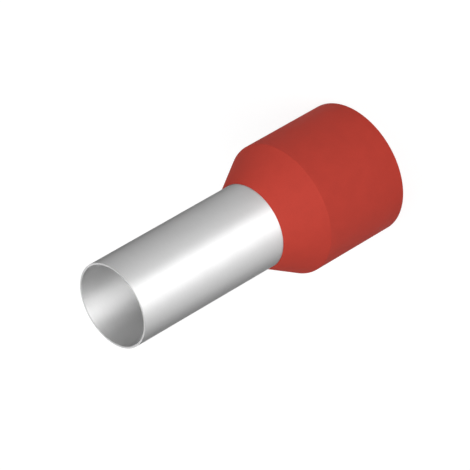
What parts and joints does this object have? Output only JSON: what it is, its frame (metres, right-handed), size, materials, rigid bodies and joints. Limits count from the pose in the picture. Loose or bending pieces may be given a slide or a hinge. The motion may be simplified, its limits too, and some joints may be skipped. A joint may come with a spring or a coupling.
{
  "type": "wire ferrule",
  "caption": "Insulated wire-end ferrule: thin tinned copper sleeve with a flared rear end, seated in a red moulded collar with a conical shoulder and a wide mouth for the wire's insulation.",
  "frame": {"origin": "centre of the collar's open mouth, in the plane that the ferrule stands on", "axes": "+Z along the ferrule's axis from the mouth to the sleeve's tip; X and Y are alike, because the ferrule is round"},
  "size_m": [0.0136, 0.0134, 0.032],
  "materials": {
    "tinned_copper": "satin tin plating on drawn copper tube",
    "red_plastic": "moulded, fine matt texture"
  },
  "bodies": {
    "root": {"metal_sleeve": "tinned_copper", "insulating_collar": "red_plastic"}
  },
  "joints": []
}
